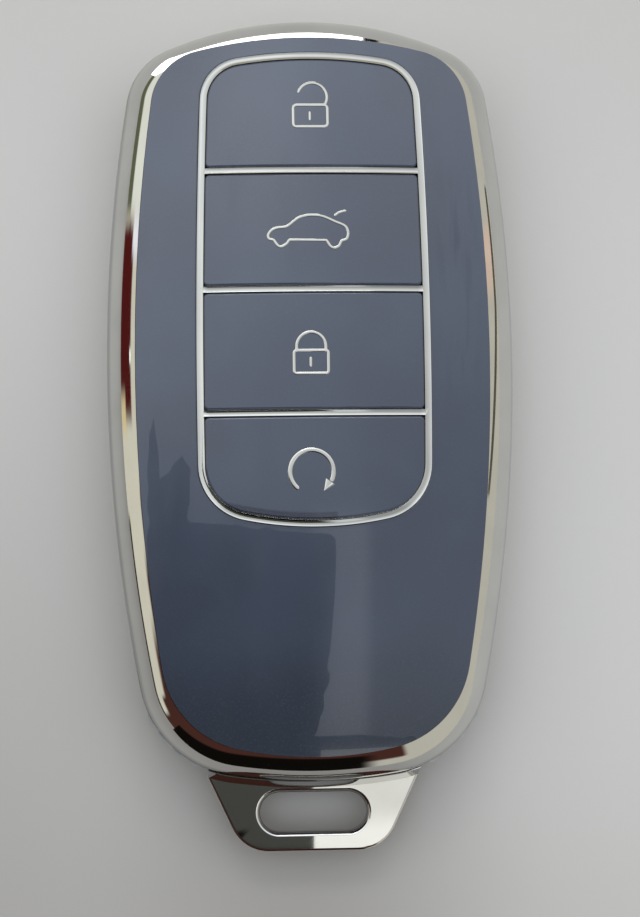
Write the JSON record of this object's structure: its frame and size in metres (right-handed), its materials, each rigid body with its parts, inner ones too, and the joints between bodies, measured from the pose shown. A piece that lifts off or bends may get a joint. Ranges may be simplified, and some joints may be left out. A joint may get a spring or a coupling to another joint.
{
  "type": "key fob cover",
  "caption": "Snap-together car key fob cover: plated rear tray with keyring tab, plated front frame with a domed blue panel and sprung keys divided by a thin bright bead.",
  "frame": {"origin": "middle of the flat back face, below the centre of the cover's outline", "axes": "+X to the right seen from the keys, +Y along the cover towards the unlock key, +Z out of the keys; the keyring tab points to -Y"},
  "size_m": [0.045, 0.0926, 0.0165],
  "materials": {
    "plating": "bright chrome plating on plastic",
    "blue_face": "high-gloss blue-grey lacquer",
    "soft_inner": "matt soft moulding"
  },
  "bodies": {
    "rear_half": {"rear_tray": "plating", "rear_panel": "blue_face", "keyring_tab": "plating"},
    "front_half": {"front_frame": "plating", "front_panel": "blue_face", "key_grid": "plating", "key_carrier": "soft_inner", "unlock_return_ring": "soft_inner", "trunk_return_ring": "soft_inner", "lock_return_ring": "soft_inner", "start_return_ring": "soft_inner"},
    "unlock_button": {"unlock_key": "blue_face"},
    "trunk_button": {"trunk_key": "blue_face"},
    "lock_button": {"lock_key": "blue_face"},
    "start_button": {"start_key": "blue_face"}
  },
  "joints": [
    {"name": "front_lift", "type": "slide", "parent": "rear_half", "child": "front_half", "axis": [0, 0, 1], "range_m": [0, 0.025]},
    {"name": "unlock_press", "type": "slide", "parent": "front_half", "child": "unlock_button", "axis": [0, 0, -1], "range_m": [0, 0.0008], "stiffness_N_per_m": 2500, "deforming": ["unlock_return_ring"]},
    {"name": "trunk_press", "type": "slide", "parent": "front_half", "child": "trunk_button", "axis": [0, 0, -1], "range_m": [0, 0.0008], "stiffness_N_per_m": 2500, "deforming": ["trunk_return_ring"]},
    {"name": "lock_press", "type": "slide", "parent": "front_half", "child": "lock_button", "axis": [0, 0, -1], "range_m": [0, 0.0008], "stiffness_N_per_m": 2500, "deforming": ["lock_return_ring"]},
    {"name": "start_press", "type": "slide", "parent": "front_half", "child": "start_button", "axis": [0, 0, -1], "range_m": [0, 0.0008], "stiffness_N_per_m": 2500, "deforming": ["start_return_ring"]}
  ]
}
